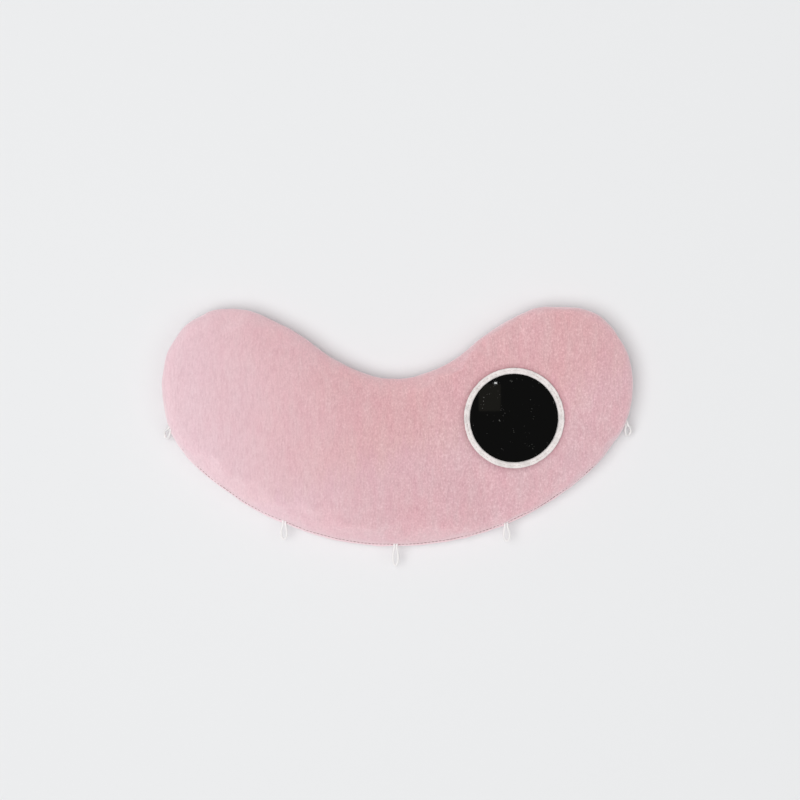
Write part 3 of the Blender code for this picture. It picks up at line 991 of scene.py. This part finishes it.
def filling():
    """A lumpy fibre block that stays inside both panels."""
    skin = PANEL_THICK + FILLING_GAP
    rings = []
    for turn in np.radians(np.linspace(90, 0, FILLING_RINGS)):
        inset = skin + (BACK_ROLL - skin) * (1 - math.cos(turn)) + FILLING_DRAW * math.cos(turn) ** 4
        height = SEAM_HEIGHT - BACK_LIP - (SEAM_HEIGHT - BACK_LIP - skin) * math.sin(turn)
        rings.append(ring(inset, height))
    for turn in np.radians(np.linspace(0, 90, FILLING_RINGS)):
        inset = skin + (FRONT_ROLL - skin) * (1 - math.cos(turn)) + FILLING_DRAW * math.cos(turn) ** 4
        rings.append(ring(inset, SEAM_HEIGHT + FRONT_LIP + (FRONT_RISE - skin) * math.sin(turn)))
    for inset in (0.042, 0.052, SPINE):
        rings.append(ring(inset, PANEL_TOP - skin))
    under = ring(SPINE, skin)
    rings = [under, ring(0.050, skin), ring(0.040, skin)] + rings
    for loop in rings:
        loop[:, 2] -= mirror_hollow(loop) * (loop[:, 2] > SEAM_HEIGHT)
    verts, faces = crescent_skin(rings, lambda p: PANEL_TOP - skin - mirror_hollow(p))
    low_verts, low_faces = crescent_skin([under], lambda p: np.full(len(p), skin))
    shift = len(verts)
    faces += [tuple(index + shift for index in face[::-1]) for face in low_faces]
    made = new_object("fibre_block", np.concatenate((verts, low_verts)), faces, FIBRE)
    shape = bmesh.new()
    shape.from_mesh(made.data)
    bmesh.ops.remove_doubles(shape, verts=shape.verts, dist=1e-6)
    bmesh.ops.recalc_face_normals(shape, faces=shape.faces)
    shape.to_mesh(made.data)
    shape.free()
    points = points_of(made)
    lumps = wobble(points, FIBRE_LUMP_SIZE, 21) * FIBRE_LUMP_RISE - FIBRE_LUMP_RISE
    set_points(made, points + vertex_normals(made) * lumps[:, None])
    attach(made, "cushion")
    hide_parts("filling")


filling()


# Cord loops

def edge_station(turn):
    """The arc's centre and radius and the outward direction where the edge has turned that far."""
    arcs = RIGHT_ARCS if turn > 0 else LEFT_ARCS
    mirror = 1 if turn > 0 else -1
    angle = abs(turn) - math.pi / 2
    centre, radius = next((arc[0], arc[1]) for arc in arcs if angle <= arc[3])
    return Vector((mirror * centre.x, centre.y)), radius, Vector((mirror * math.cos(angle), math.sin(angle)))


def loop_places(edge_turn, lie, droop):
    """The frames of a loop's free part and of its sewn-in ends, both at its hinge."""
    centre, radius, normal = edge_station(math.radians(edge_turn))
    place = centre + (radius + HINGE_OUT) * normal
    level = Matrix.Rotation(math.radians(lie - 90), 4, "Z")
    at = Matrix.Translation((place.x, place.y, SEAM_HEIGHT))
    return at @ level @ Matrix.Rotation(math.radians(droop), 4, "Y"), at @ level


def loop_path(free, sewn, drawn_in, opening, roll, points=64):
    """One cord from inside the seam, out round the drop-shaped loop and back in beside itself."""
    beside = (CORD + CORD_GAP) / 2
    path = []
    for back in np.linspace(SEWN_IN, SEWN_START, SEWN_POINTS):
        path.append(sewn @ Vector((-back, beside, 0)))
    for step in range(points + 1):
        turn = 2 * math.pi * step / points
        out = (1 - math.cos(turn)) / 2
        reach = (LOOP_LENGTH - CORD / 2 - drawn_in) * out
        open_by = opening * math.sin(turn) * math.sin(turn / 2)
        across = open_by + beside * math.cos(turn / 2)
        turned = math.radians(roll) * smooth(out * 2.5)
        aside, aloft = across * math.cos(turned), across * math.sin(turned)
        path.append(free @ Vector((reach + LOOP_START, aside, aloft)))
    for back in np.linspace(SEWN_START, SEWN_IN, SEWN_POINTS):
        path.append(sewn @ Vector((-back, -beside, 0)))
    return path


def even_path(path, spacing):
    """The path smoothed and laid out in even steps, and its length."""
    points = np.array([tuple(p) for p in path])
    for _ in range(3):
        points[1:-1] = points[1:-1] * 0.5 + (points[:-2] + points[2:]) * 0.25
    run = np.concatenate(([0.0], np.cumsum(np.linalg.norm(np.diff(points, axis=0), axis=1))))
    count = max(8, int(run[-1] / spacing))
    even = np.linspace(0, run[-1], count)
    return np.c_[[np.interp(even, run, points[:, axis]) for axis in range(3)]].T, run[-1]


def twisted_cord(name, path, length, look, sides=30, strands=3, pitch=0.0075):
    """A laid cord: a tube whose skin follows its twisted strands."""
    verts = []
    faces = []
    count = len(path)
    up = Vector((0, 0, 1))
    for index in range(count):
        before, after = Vector(path[max(0, index - 1)]), Vector(path[min(count - 1, index + 1)])
        run = (after - before).normalized()
        side = run.cross(up).normalized()
        up = side.cross(run).normalized()
        twist = 2 * math.pi * length * index / (count - 1) / pitch
        for corner in range(sides):
            turn = 2 * math.pi * corner / sides
            lobe = abs(math.cos(strands / 2 * (turn - twist)))
            radius = CORD / 2 * (1 - STRAND_HOLLOW + STRAND_HOLLOW * lobe**0.6)
            spread = side * math.cos(turn) + up * math.sin(turn)
            verts.append(Vector(path[index]) + spread * radius)
    for index in range(count - 1):
        for corner in range(sides):
            after = (corner + 1) % sides
            low, high = index * sides, (index + 1) * sides
            faces.append((low + corner, low + after, high + after, high + corner))
    faces.append(tuple(reversed(range(sides))))
    faces.append(tuple((count - 1) * sides + corner for corner in range(sides)))
    return new_object(name, verts, faces, look)


def cord_loops():
    for name, edge_turn, lie, droop in LOOPS:
        free, sewn = loop_places(edge_turn, lie, droop)
        path, length = even_path(loop_path(free, sewn, *LOOP_HANG[name]), CORD_SPACING)
        made = twisted_cord("cord_" + name, path, length, CORD_LOOK)
        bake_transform(made)
        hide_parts("hang_loop_" + name, "loop_end_" + name)


cord_loops()


# Carried-over pieces

def dress(name, look):
    made = bpy.data.objects[name]
    made.data.materials.clear()
    made.data.materials.append(look)
    made.data.shade_smooth()
    made.data.set_sharp_from_angle(angle=math.radians(35))


dress("mirror_disc", MIRROR_LOOK)
dress("mirror_pocket", LINING)


# Floor, light and camera

def plain(name, colour, roughness=0.9):
    made, _, shader = start_material(name)
    shader.inputs["Base Color"].default_value = colour
    shader.inputs["Roughness"].default_value = roughness
    shader.inputs["Specular IOR Level"].default_value = 0.1
    return made


def flat_card(name, centre, size, look):
    x, y, z = centre
    w, h = size[0] / 2, size[1] / 2
    corners = ((x - w, y - h, z), (x + w, y - h, z), (x + w, y + h, z), (x - w, y + h, z))
    made = new_object(name, corners, [(0, 1, 2, 3)], look)
    return made


flat_card("floor", (0, 0, -0.0006), (8, 8), plain("floor", srgb(231, 232, 233)))


def seen_in_gloss_only(made):
    made.visible_camera = False
    made.visible_diffuse = False
    made.visible_shadow = False
    made.visible_transmission = False
    made.visible_volume_scatter = False


def glow(name, colour, strength):
    made, _, shader = start_material(name)
    shader.inputs["Base Color"].default_value = (0, 0, 0, 1)
    shader.inputs["Emission Color"].default_value = colour
    shader.inputs["Emission Strength"].default_value = strength
    shader.inputs["Roughness"].default_value = 1.0
    shader.inputs["Specular IOR Level"].default_value = 0.0
    return made


# The dark ceiling that the mirror shows in the photo
ceiling_look = glow("ceiling", (1, 1, 0.97, 1), 0.0055)
panel_look = glow("panel", (1, 0.95, 0.82, 1), 0.013)
spot_look = glow("spot", (1, 1, 1, 1), 0.9)
seen_in_gloss_only(flat_card("dark_ceiling", (0.4, 0, 3.2), (5, 5), ceiling_look))
seen_in_gloss_only(flat_card("ceiling_panel", (0.2206, 0.0462, 3.1), (0.054, 0.064), panel_look))
seen_in_gloss_only(flat_card("ceiling_spot", (0.2351, 0.0805, 3.09), (0.006, 0.004), spot_look))

SKY_LIGHT = 0.38
SKY_SEEN = 0.84
scene = bpy.context.scene
world = bpy.data.worlds.new("studio")
scene.world = world
world.use_nodes = True
sky = world.node_tree.nodes["Background"]
sky.inputs["Color"].default_value = (1, 1, 1, 1)
rays = world.node_tree.nodes.new("ShaderNodeLightPath")
seen = sum_of(world.node_tree, rays.outputs["Is Camera Ray"], rays.outputs["Is Glossy Ray"], "MAXIMUM")
world.node_tree.links.new(span(world.node_tree, seen, 0, 1, SKY_LIGHT, SKY_SEEN), sky.inputs["Strength"])


def soft_sun(name, towards, spread, strength):
    """An even light as from one big softbox: towards is where it comes from, spread its angle."""
    lamp = bpy.data.lights.new(name, "SUN")
    lamp.energy = strength
    lamp.angle = math.radians(spread)
    made = bpy.data.objects.new(name, lamp)
    scene.collection.objects.link(made)
    made.rotation_euler = Vector(towards).to_track_quat("Z", "Y").to_euler()
    made.visible_glossy = False


soft_sun("softbox", towards=(-0.30, -0.10, 1.0), spread=46, strength=1.62)
soft_sun("second_softbox", towards=(0.46, -0.14, 1.0), spread=44, strength=0.38)

fill = bpy.data.lights.new("fill", "AREA")
fill.shape = "DISK"
fill.size = 0.9
fill.energy = 2.4
fill_object = bpy.data.objects.new("fill", fill)
scene.collection.objects.link(fill_object)
fill_object.location = (-0.45, 0.03, 1.7)
fill_object.visible_glossy = False

# Size of one of the photo's pixels at the seam, its width, and where its middle lies, in pixels
PIXEL = 0.0010661
PHOTO_WIDTH = 800
MIDDLE_X = 2.5
MIDDLE_Y = 36.5
CAMERA_HEIGHT = 2.4
SENSOR = 36
camera = bpy.data.cameras.new("camera")
camera.sensor_width = SENSOR
camera.lens = SENSOR * (CAMERA_HEIGHT - SEAM_HEIGHT) / (PHOTO_WIDTH * PIXEL)
camera_object = bpy.data.objects.new("camera", camera)
scene.collection.objects.link(camera_object)
camera_object.location = (MIDDLE_X * PIXEL, MIDDLE_Y * PIXEL, CAMERA_HEIGHT)
scene.camera = camera_object
scene.view_settings.view_transform = "Standard"
